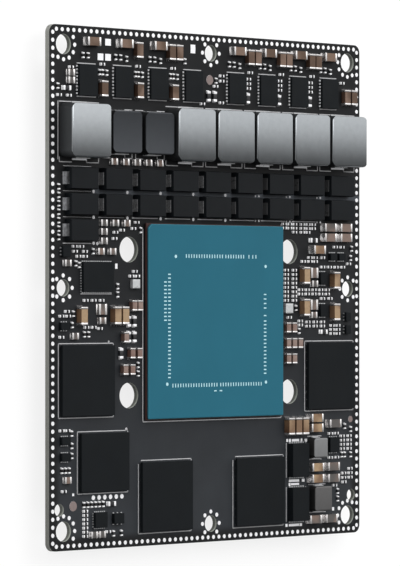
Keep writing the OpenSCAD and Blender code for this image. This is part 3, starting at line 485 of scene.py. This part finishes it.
def board_walls(finish):
    """Wall colour: layered glass fibre round the outline, and plating in the holes, with painted
    shade deeper in the holes.
    """
    tree, at = finish.tree, finish.axes()
    low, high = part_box("circuit_board")
    rim = 0.4 * MM
    off_x, off_y = math_of(tree, "ABSOLUTE", at["X"]), math_of(tree, "ABSOLUTE", at["Y"])
    outer = math_of(tree, "MAXIMUM", math_of(tree, "GREATER_THAN", off_x, high.x - rim),
                    math_of(tree, "GREATER_THAN", off_y, high.y - rim))
    # Painted shade: the plating darkens towards the bottom of each hole.
    hole_shade_start, hole_shade_full = 0.55 * MM, 0.2 * MM
    painted_hole_shade = ramp(tree, at["Z"], high.z - hole_shade_start, high.z - hole_shade_full)
    plating_and_shade = blend(tree, painted_hole_shade, rgba(colours().hole_wall, 0.35), rgba(colours().hole_wall))
    edge = colours().laminate_edge
    # The fibre is darker towards the lower end of the board.
    fibre = blend(tree, ramp(tree, at["Y"], low.y, high.y / 2), rgba(edge, 0.6), rgba(edge))
    wall = blend(tree, outer, plating_and_shade, fibre)
    layers = add(tree, "ShaderNodeTexWave", {
        "Vector": finish.coords, "Scale": 1.1 / MM, "Distortion": 1.5, "Detail": 2.0,
    }, bands_direction="Z")
    return blend(tree, layers.outputs["Fac"], wall, grey(0.8), "MULTIPLY")


def board_finish():
    """Solder mask on the board's faces and bare material on its walls."""
    finish = Finish("Solder mask", specular=0.2)
    tree = finish.tree
    up = math_of(tree, "ABSOLUTE", finish.facing_up("True Normal"))
    upright = math_of(tree, "LESS_THAN", up, STEEP)
    finish.join("Base Color", blend(tree, upright, board_face(finish), board_walls(finish)))
    finish.join("Roughness", finish.gloss(smooth=0.5, rough=0.62, size=9 * MM))
    finish.grain(size=0.35 * MM, depth=0.004 * MM)
    return finish.material


def core_finish(name, node):
    """Pressed core whose walls are darkened as painted shade, and dull. Its top is crowned, so it
    shades from front to back.
    """
    look = CORE_LOOKS[name]
    rgb = getattr(colours(), look.colour)
    finish = Finish(name, look.metallic, specular=0.4)
    tree = finish.tree
    up = finish.facing_up()
    top = ramp(tree, up, WALL_UP, TOP_UP)
    tone = finish.tone(rgba(rgb, 0.97), rgba(rgb, 1.03), size=1.2 * MM)
    # Painted shade: the walls take a darker share of the top's tone.
    finish.join("Base Color", blend(tree, top, rgba(rgb, look.wall), tone))
    wall_dull = 0.4
    dull = math_of(tree, "MULTIPLY", math_of(tree, "SUBTRACT", 1.0, top), wall_dull)
    gloss = finish.gloss(look.smooth, look.rough, size=3 * MM)
    finish.join("Roughness", math_of(tree, "ADD", gloss, dull))
    low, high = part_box(node)
    tilt = add(tree, "ShaderNodeMapRange", {
        "Value": finish.axes()["Y"], "From Min": low.y, "From Max": high.y,
        "To Min": -look.tilt, "To Max": look.tilt}).outputs["Result"]
    lean = math_of(tree, "MULTIPLY", tilt, math_of(tree, "MAXIMUM", up, 0.0))
    shift = add(tree, "ShaderNodeCombineXYZ", {"Y": lean}).outputs["Vector"]
    normal = add(tree, "ShaderNodeNewGeometry").outputs["Normal"]
    leaning = add(tree, "ShaderNodeVectorMath", {0: normal, 1: shift}, operation="ADD").outputs[0]
    crowned = add(tree, "ShaderNodeVectorMath", {0: leaning}, operation="NORMALIZE").outputs[0]
    finish.grain(size=0.12 * MM, depth=0.001 * MM, normal=crowned)
    return finish.material


def terminal_finish():
    """Tin of the bulk capacitors' ends: bright at the left of the rows, and darker to the right as
    painted shade between the capacitors.
    """
    finish = Finish("Bulk terminal tin")
    tree = finish.tree
    tin = colours().lead_tin
    across = finish.axes()["X"]
    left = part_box("bulk_capacitor_terminals")[0].x
    unshaded_end, shade_full = left + 1.5 * MM, left + 2.5 * MM
    # Painted shade: terminals past the first column are darker and grow darker to the right.
    inner = ramp(tree, across, unshaded_end, shade_full)
    unshaded_tin = finish.tone(rgba(tin, 0.55), rgba(tin), size=0.5 * MM)
    matte = finish.tone(rgba(tin, 0.14), rgba(tin, 0.42), size=0.3 * MM)
    shade_deepens_from, shade_deepest_at = -1 * MM, 9 * MM
    dull = blend(tree, ramp(tree, across, shade_deepens_from, shade_deepest_at), matte, rgba(tin, 0.12))
    finish.join("Base Color", blend(tree, inner, unshaded_tin, dull))
    # Less metallic where painted shade lies, so the darkened tin stays dim.
    shade_share = math_of(tree, "MULTIPLY", inner, 0.9)
    finish.join("Metallic", math_of(tree, "SUBTRACT", 1.0, shade_share))
    finish.join("Roughness", finish.gloss(smooth=0.25, rough=0.4, size=1.6 * MM))
    finish.grain(size=0.1 * MM, depth=0.003 * MM)
    return finish.material


def ceramic_finish(name, first, second):
    """Fired ceramic that drifts between two colours from chip to chip, with walls darkened as
    painted shade.
    """
    finish = Finish(name, specular=0.25)
    tree = finish.tree
    drift_per_metre = 0.22 / MM
    noise = {"Vector": finish.coords, "Scale": drift_per_metre, "Detail": 0.0}
    drift = add(tree, "ShaderNodeTexNoise", noise).outputs["Fac"]
    all_first, all_second = 0.38, 0.62
    tone = blend(tree, ramp(tree, drift, all_first, all_second), rgba(first), rgba(second))
    darker = blend(tree, 1.0, tone, grey(0.86), "MULTIPLY")
    mottled = finish.tone(darker, tone, size=0.5 * MM)
    # Painted shade on the walls, which are multiplied darker than the tops.
    painted_wall_shade = [0.42, 0.36, 0.34, 1.0]
    shaded = blend(tree, 1.0, mottled, painted_wall_shade, "MULTIPLY")
    top = ramp(tree, finish.facing_up(), WALL_UP, TOP_UP)
    finish.join("Base Color", blend(tree, top, shaded, mottled))
    finish.join("Roughness", finish.gloss(smooth=0.45, rough=0.6, size=1.0 * MM))
    finish.grain(size=0.06 * MM, depth=0.002 * MM)
    return finish.material


def lid_finish():
    """Teal coating of the processor's lid, with a painted highlight where it rounds its edges."""
    finish = Finish("Teal lid", specular=0.1)
    tree = finish.tree
    coat = finish.tone(rgba(colours().lid, 0.97), rgba(colours().lid, 1.03), size=9 * MM)
    up = finish.facing_up()
    # Painted highlight on the rounded edges, between the walls and the level top
    off_wall, off_top = ramp(tree, up, 0.2, 0.5), ramp(tree, up, 0.99, 0.85)
    rim = math_of(tree, "MULTIPLY", off_wall, off_top)
    finish.join("Base Color", blend(tree, rim, coat, rgba(colours().lid_edge_highlight)))
    finish.join("Roughness", finish.gloss(smooth=0.34, rough=0.42, size=18 * MM))
    finish.grain(size=0.1 * MM, depth=0.002 * MM)
    return finish.material


# Pieces


def dress(names, material, edge=0.0):
    """Gives CAD nodes their finish and, where an edge is given, softens their sharp edges."""
    for name in names:
        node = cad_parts[name]
        node.data.materials.clear()
        node.data.materials.append(material)
        if edge:
            weld = node.modifiers.new("Join faces", "WELD")
            weld.merge_threshold = JOIN_GAP
            soften = node.modifiers.new("Soft edges", "BEVEL")
            soften.width = edge
            soften.segments = 2
            soften.limit_method = "ANGLE"
            soften.angle_limit = SHARP_ANGLE
            even = node.modifiers.new("Even shading", "WEIGHTED_NORMAL")
            even.weight = 100


def new_object(name, bm, material):
    """Turns a finished bmesh into an object of the scene."""
    mesh = bpy.data.meshes.new(name)
    bm.to_mesh(mesh)
    bm.free()
    mesh.materials.append(material)
    thing = bpy.data.objects.new(name, mesh)
    bpy.context.scene.collection.objects.link(thing)
    return thing


def new_piece(name, bm, material):
    """Turns a finished bmesh into a piece that rides on the module."""
    piece = new_object(name, bm, material)
    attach(piece, BODY)


def add_slab(bm, low, high):
    """A flat block between two corners."""
    middle = (Vector(low) + Vector(high)) / 2
    span = Vector(high) - Vector(low)
    stretch = Matrix.Diagonal((*span, 1))
    bmesh.ops.create_cube(bm, size=1, matrix=Matrix.Translation(middle) @ stretch)


def add_dot(bm, x, y, z, diameter):
    """A printed round dot that stands on height z."""
    height = sizes().ink_h
    bmesh.ops.create_cone(
        bm, cap_ends=True, segments=DOT_SIDES, radius1=diameter / 2, radius2=diameter / 2,
        depth=height, matrix=Matrix.Translation((x, y, z + height / 2)))


def add_tick(bm, middle, flat):
    """A printed tick on the lid, along X if it is flat."""
    half_l, half_w = sizes().tick_l / 2, sizes().tick_w / 2
    half = (half_l, half_w) if flat else (half_w, half_l)
    add_slab(bm, middle - Vector((*half, 0)), middle + Vector((*half, sizes().ink_h)))


def board_top():
    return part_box("circuit_board")[1].z


def add_line(bm, start, end, width=None):
    """A printed line on the board along X or Y, as wide as the others unless a width is given."""
    half = (width or sizes().ink_w) / 2
    z = board_top()
    low = (min(start[0], end[0]) - half, min(start[1], end[1]) - half, z)
    high = (max(start[0], end[0]) + half, max(start[1], end[1]) + half, z + sizes().ink_h)
    add_slab(bm, low, high)


def add_outline(bm, node, gap_x, gap_y, sides, corner_gap=0.0):
    """Printed lines around a package, on the sides named by the letters l, r, t and b."""
    low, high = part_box(node)
    left, right = low.x - gap_x, high.x + gap_x
    bottom, top = low.y - gap_y, high.y + gap_y
    ends = {"l": ((left, bottom), (left, top - corner_gap)), "r": ((right, bottom), (right, top)),
            "t": ((left + corner_gap, top), (right, top)), "b": ((left, bottom), (right, bottom))}
    for side in sides:
        add_line(bm, *ends[side])


class MODULE_OT_board(bpy.types.Operator):
    """Finish the board, its vias and its bare pads"""

    bl_idname = "module.board"
    bl_label = "Board"

    # Alignment dots: centre and diameter in millimetres
    fiducials = [(-0.3, 41.1, 1.9), (-37.3, -41.6, 1.9), (40.7, -26.7, 1.3)]

    def execute(self, context):
        dress(["circuit_board"], board_finish())
        dress(["edge_vias", "screw_hole_vias", "bare_pads"], plain_finish("Bare solder"))
        self.bare_copper()
        return {"FINISHED"}

    def bare_copper(self):
        """Bare copper on the alignment dots."""
        bm = bmesh.new()
        for x, y, diameter in self.fiducials:
            add_dot(bm, x * MM, y * MM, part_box("bare_pads")[1].z, diameter * MM)
        new_piece("alignment_dot_copper", bm, plain_finish("Alignment copper"))


class MODULE_OT_processor(bpy.types.Operator):
    """Finish the processor and print the ticks on its lid"""

    bl_idname = "module.processor"
    bl_label = "Processor"

    # Runs of ticks, in millimetres from the lid's centre: start, count, step, and whether
    # each tick lies along X
    runs = [((-13.35, 9.2), 28, (0, -0.745), True), ((-14.45, 7.7), 11, (0, -0.745), True),
            ((13.55, 5.3), 4, (0, -0.9), True), ((13.55, 1.1), 1, (0, -0.9), True),
            ((13.55, 0.0), 15, (0, -0.745), True),
            ((-8.7, 12.8), 15, (0.72, 0), False), ((2.35, 12.8), 8, (0.72, 0), False),
            ((8.9, 12.8), 1, (0.72, 0), False), ((10.0, 12.8), 2, (0.9, 0), False),
            ((-12.4, -12.5), 18, (0.72, 0), False), ((0.9, -12.5), 17, (0.72, 0), False)]
    dashes = [(-0.6, -13.7), (0.95, -13.7)]
    dots = [(-11.6, 12.7), (13.7, 10.9), (-13.95, -12.2), (13.8, -12.2)]

    def execute(self, context):
        dress(["processor_lid"], lid_finish(), sizes().lid_edge)
        dress(["processor_substrate"], plain_finish("Package laminate"))
        dress(["processor_solder_balls"], plain_finish("Processor balls"))
        self.print_marks()
        return {"FINISHED"}

    def print_marks(self):
        """Ticks, dashes and dots on the lid."""
        low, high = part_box("processor_lid")
        centre = Vector(((low.x + high.x) / 2, (low.y + high.y) / 2, high.z))
        bm = bmesh.new()
        for (x, y), count, (step_x, step_y), flat in self.runs:
            for i in range(count):
                add_tick(bm, centre + Vector((x + i * step_x, y + i * step_y, 0)) * MM, flat)
        for x, y in self.dashes:
            add_tick(bm, centre + Vector((x, y, 0)) * MM, True)
        for x, y in self.dots:
            add_dot(bm, centre.x + x * MM, centre.y + y * MM, high.z, sizes().dot_d)
        new_piece("lid_tick_marks", bm, plain_finish("Lid marks"))


class MODULE_OT_memory(bpy.types.Operator):
    """Finish the memory and storage chips"""

    bl_idname = "module.memory"
    bl_label = "Memory"

    def execute(self, context):
        mould = plain_finish("Memory mould")
        dress(MEMORIES + ["storage_chip"], mould, sizes().package_edge)
        dress(["memory_solder_balls"], plain_finish("Memory balls"))
        return {"FINISHED"}


class MODULE_OT_power(bpy.types.Operator):
    """Finish the power stages, phase inductors and bulk capacitors"""

    bl_idname = "module.power"
    bl_label = "Power"

    def execute(self, context):
        dress(STAGES, plain_finish("Stage mould"), sizes().package_edge)
        dress(["power_stage_leads"], plain_finish("Stage lead tin"))
        dress(BULK_ROWS, plain_finish("Bulk mould"), sizes().package_edge)
        dress(["bulk_capacitor_terminals"], terminal_finish())
        shaded = [name for name in INDUCTORS[1:] if name not in DARK_INDUCTORS]
        dress(INDUCTORS[:1], core_finish("Silver core", INDUCTORS[0]))
        # The other silver inductors take the darker copy of the core as painted shade
        dress(shaded, core_finish("Shaded silver core", INDUCTORS[0]))
        dress(DARK_INDUCTORS, core_finish("Dark core", DARK_INDUCTORS[0]))
        dress(["phase_inductor_terminals"], plain_finish("Terminal tin"))
        return {"FINISHED"}


class MODULE_OT_converters(bpy.types.Operator):
    """Finish the converters, controllers, small chips and oscillators"""

    bl_idname = "module.converters"
    bl_label = "Converters and controllers"

    def execute(self, context):
        chips = CONVERTERS + CONTROLLERS + ["small_chips"]
        dress(chips, plain_finish("Controller mould"), sizes().package_edge)
        for name in CONVERTER_COILS:
            dress([name], core_finish(f"Ferrite of {name}", name))
        dress(["crystal_oscillators"], plain_finish("Oscillator case"))
        leads = ["converter_leads", "converter_inductor_terminals", "controller_leads",
                 "small_chip_leads"]
        dress(leads, plain_finish("Chip lead tin"))
        return {"FINISHED"}


class MODULE_OT_chip_parts(bpy.types.Operator):
    """Finish the ceramic capacitors, resistors and their metal ends"""

    bl_idname = "module.chip_parts"
    bl_label = "Capacitors and resistors"

    def execute(self, context):
        tone = colours()
        ceramics = [
            ("Brown ceramic", tone.brown_ceramic, tone.umber_ceramic, ["input_capacitors"]),
            ("Tan ceramic", tone.tan_ceramic, tone.amber_ceramic, ["output_capacitors"]),
            ("Grey ceramic", tone.mauve_ceramic, tone.grey_ceramic, ["bypass_capacitors"]),
            ("Pink ceramic", tone.pink_ceramic, tone.red_ceramic,
             ["medium_capacitors", "back_capacitors"]),
            ("Small ceramic", tone.small_ceramic, tone.resistor, ["small_capacitors"]),
        ]
        edge = sizes().chip_edge
        for name, first, second, nodes in ceramics:
            dress(nodes, ceramic_finish(name, first, second), edge)
        dress(["chip_resistors"], plain_finish("Resistor glaze"), edge)
        silver_ends = ["large_capacitor_ends", "medium_capacitor_ends", "back_capacitor_ends"]
        dress(silver_ends, plain_finish("Capacitor end silver"), edge)
        dress(["small_chip_ends"], plain_finish("Chip end tin"), edge)
        return {"FINISHED"}


class MODULE_OT_connector(bpy.types.Operator):
    """Finish the board connector on the back"""

    bl_idname = "module.connector"
    bl_label = "Board connector"

    def execute(self, context):
        dress(["board_connector_housing"], plain_finish("Connector plastic"))
        dress(["board_connector_contacts"], plain_finish("Contact gold"))
        return {"FINISHED"}


class MODULE_OT_silkscreen(bpy.types.Operator):
    """Print the outlines on the board"""

    bl_idname = "module.silkscreen"
    bl_label = "Board ink"

    # Loose lines and dots, most of them between the bulk capacitors, in millimetres
    row_lines = [((x, 13.55), (x + 6.8, 13.55)) for x in (-21.6, -12.6, -3.6, 5.4, 14.4, 23.4)]
    row_lines += [((-39.9, 8.5), (-32.6, 8.5))]
    thin_lines = [((-39.9, y), (-32.6, y)) for y in (23.2, 18.45, 13.5)]
    thin_lines += [((-30.6, 13.55), (-23.8, 13.55))]
    row_dots = [(x, y) for y in (18.45, 13.5) for x in (-31.9, -22.9, -13.9, -4.9, 4.1)]
    row_dots += [(-31.9, 8.55), (-30.9, 8.5), (-23.2, -27.25)]
    small_dots = [(x + shift, y) for y in (18.45, 13.5) for x in (13.2, 22.2, 31.2)
                  for shift in (-0.5, 0.5)]
    small_dots += [(-27.9, -10.3)]

    def execute(self, context):
        ink = plain_finish("Board ink")
        new_piece("board_outlines", self.outlines(), ink)
        new_piece("row_marks", self.row_marks(), ink)
        return {"FINISHED"}

    def outlines(self):
        """Lines around the packages."""
        gap, corner_gap = sizes().outline_gap, sizes().corner_gap
        bm = bmesh.new()
        for name in ["memory_left", "memory_right", "storage_chip"]:
            add_outline(bm, name, gap, gap, "lrtb")
        add_outline(bm, "processor_substrate", gap, gap, "lrb", 2 * corner_gap)
        for name in ["memory_lower_centre", "memory_lower_right"]:
            add_outline(bm, name, gap, gap, "lrtb", corner_gap)
        for name in STAGES:
            add_outline(bm, name, 0, gap / 2, "tb")
        add_outline(bm, "power_controller", 0, gap, "b")
        for name in CONVERTERS:
            add_outline(bm, name, 1.3 * gap, 0, "lr")
        for name in CONVERTER_COILS:
            add_outline(bm, name, 0, gap, "tb")
        for name in INDUCTORS:
            self.bracket(bm, name)
        add_outline(bm, INDUCTORS[0], gap, gap, "l")
        return bm

    def bracket(self, bm, name):
        """Lines behind and in front of an inductor, open at its terminals, with ticks to it."""
        low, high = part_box(name)
        behind = high.y + sizes().outline_gap
        front = low.y - sizes().bracket_gap
        middle, half = (low.x + high.x) / 2, sizes().notch_w / 2
        for x, inner in ((low.x, middle - half), (high.x, middle + half)):
            add_line(bm, (x, behind), (inner, behind))
            add_line(bm, (x, front), (inner, front))
            add_line(bm, (x, front), (x, low.y))
        add_line(bm, (middle + half, front), (middle + half, low.y))

    def row_marks(self):
        """Loose lines and dots, most of them between the bulk capacitors."""
        bm = bmesh.new()
        for lines, width in ((self.row_lines, sizes().ink_w), (self.thin_lines, sizes().thin_w)):
            for (x1, y1), (x2, y2) in lines:
                add_line(bm, (x1 * MM, y1 * MM), (x2 * MM, y2 * MM), width)
        z, dot_d, small_dot_d = board_top(), sizes().dot_d, sizes().small_dot_d
        for dots, diameter in ((self.row_dots, dot_d), (self.small_dots, small_dot_d)):
            for x, y in dots:
                add_dot(bm, x * MM, y * MM, z, diameter)
        return bm


class MODULE_OT_stage(bpy.types.Operator):
    """Set the floor, the lamps, the sky and the camera"""

    bl_idname = "module.stage"
    bl_label = "Stage"

    # Floor: half of its side in metres, the light that it throws on the module, and the shade
    # and the glow that it shows to the camera
    floor_half, floor_throw, floor_shade, floor_glow = 12, 0.8, 0.2, 0.82
    # The sky brightens between these values of a direction's Y
    sky_from, sky_to = -0.4, 0.4
    # Nearest and furthest points that the camera sees, in metres
    camera_near, camera_far = 0.01, 50

    def execute(self, context):
        context.scene.view_settings.view_transform = "Standard"
        stage = context.scene.module_stage
        self.lay_floor()
        self.paint_sky(context, stage)
        self.hang_lamp("Key lamp", stage.key_place, stage.lamp_size, stage.key_power)
        self.hang_lamp("Fill lamp", stage.fill_place, stage.lamp_size, stage.fill_power)
        self.set_camera(context, stage)
        return {"FINISHED"}

    def lay_floor(self):
        """A pale floor that looks white from above and can be seen through from below."""
        bm = bmesh.new()
        bmesh.ops.create_grid(bm, x_segments=1, y_segments=1, size=self.floor_half)
        floor = new_object("floor", bm, self.floor_finish())

    def floor_finish(self):
        material = bpy.data.materials.new("Pale floor")
        material.use_nodes = True
        tree = material.node_tree
        tree.nodes.clear()
        path = add(tree, "ShaderNodeLightPath").outputs
        mirrored = math_of(tree, "MAXIMUM", path["Is Glossy Ray"], path["Is Transmission Ray"])
        seen = math_of(tree, "MAXIMUM", path["Is Camera Ray"], mirrored)
        matte = add(tree, "ShaderNodeBsdfDiffuse", {"Color": grey(self.floor_throw)}).outputs[0]
        weak = add(tree, "ShaderNodeBsdfDiffuse", {"Color": grey(self.floor_shade)}).outputs[0]
        glow = add(tree, "ShaderNodeEmission", {"Color": grey(1), "Strength": self.floor_glow})
        white = add(tree, "ShaderNodeAddShader", {0: weak, 1: glow.outputs[0]}).outputs[0]
        top = add(tree, "ShaderNodeMixShader", {0: seen, 1: matte, 2: white}).outputs[0]
        clear = add(tree, "ShaderNodeBsdfTransparent").outputs[0]
        behind = add(tree, "ShaderNodeNewGeometry").outputs["Backfacing"]
        both = add(tree, "ShaderNodeMixShader", {0: behind, 1: top, 2: clear}).outputs[0]
        add(tree, "ShaderNodeOutputMaterial", {"Surface": both})
        return material

    def paint_sky(self, context, stage):
        """A soft sky, bright past the upper end of the board and dark past its lower end."""
        world = bpy.data.worlds.new("Soft sky")
        context.scene.world = world
        world.use_nodes = True
        tree = world.node_tree
        direction = add(tree, "ShaderNodeTexCoord").outputs["Generated"]
        across = add(tree, "ShaderNodeSeparateXYZ", {"Vector": direction}).outputs["Y"]
        light = add(tree, "ShaderNodeMapRange", {
            "Value": across, "From Min": self.sky_from, "From Max": self.sky_to,
            "To Min": stage.sky_dark, "To Max": stage.sky_bright}, interpolation_type="SMOOTHSTEP")
        fill(tree, tree.nodes["Background"], {
            "Color": grey(1), "Strength": light.outputs["Result"]})

    def hang_lamp(self, name, place, size, watts):
        """A square lamp that points at the middle of the module."""
        data = bpy.data.lights.new(name, "AREA")
        data.size = size
        data.energy = watts
        lamp = bpy.data.objects.new(name, data)
        lamp.location = place
        lamp.rotation_euler = (-Vector(place)).to_track_quat("-Z", "Y").to_euler()
        bpy.context.scene.collection.objects.link(lamp)

    def set_camera(self, context, stage):
        """A camera that looks down on the board from its left."""
        data = bpy.data.cameras.new("Camera")
        data.sensor_width = stage.sensor
        data.lens = stage.lens
        data.shift_y = (stage.horizon_row - PICTURE_H / 2) / PICTURE_H
        data.clip_start = self.camera_near
        data.clip_end = self.camera_far
        along = Vector((math.sin(stage.off_plumb), 0, -math.cos(stage.off_plumb)))
        up = Vector((0, 1, 0))
        right = along.cross(up)
        target = Vector((stage.target_x, stage.target_y, board_top()))
        camera = bpy.data.objects.new("Camera", data)
        turn = Matrix((right, up, -along)).transposed()
        camera.matrix_world = Matrix.Translation(target - along * stage.distance) @ turn.to_4x4()
        context.scene.collection.objects.link(camera)
        context.scene.camera = camera


# Add-on


OPERATORS = [
    MODULE_OT_board, MODULE_OT_processor, MODULE_OT_memory, MODULE_OT_power, MODULE_OT_converters,
    MODULE_OT_chip_parts, MODULE_OT_connector, MODULE_OT_silkscreen, MODULE_OT_stage,
]


class MODULE_PT_panel(bpy.types.Panel):
    """Lists the module's steps and settings"""

    bl_label = "System on module"
    bl_idname = "MODULE_PT_panel"
    bl_space_type = "VIEW_3D"
    bl_region_type = "UI"
    bl_category = "Module"

    def draw(self, context):
        for step in OPERATORS:
            self.layout.operator(step.bl_idname)
        scene = context.scene
        for settings in (scene.module_colours, scene.module_sizes, scene.module_stage):
            box = self.layout.box()
            for name in settings.bl_rna.properties.keys():
                if name not in ("rna_type", "name"):
                    box.prop(settings, name)


GROUPS = [ModuleColours, ModuleSizes, StageSettings]


def register():
    for item in GROUPS + OPERATORS + [MODULE_PT_panel]:
        bpy.utils.register_class(item)
    bpy.types.Scene.module_colours = PointerProperty(type=ModuleColours)
    bpy.types.Scene.module_sizes = PointerProperty(type=ModuleSizes)
    bpy.types.Scene.module_stage = PointerProperty(type=StageSettings)


def unregister():
    del bpy.types.Scene.module_stage
    del bpy.types.Scene.module_sizes
    del bpy.types.Scene.module_colours
    for item in reversed(GROUPS + OPERATORS + [MODULE_PT_panel]):
        bpy.utils.unregister_class(item)


def main():
    register()
    bpy.ops.module.board()
    bpy.ops.module.processor()
    bpy.ops.module.memory()
    bpy.ops.module.power()
    bpy.ops.module.converters()
    bpy.ops.module.chip_parts()
    bpy.ops.module.connector()
    bpy.ops.module.silkscreen()
    bpy.ops.module.stage()


if __name__ == "__main__":
    main()
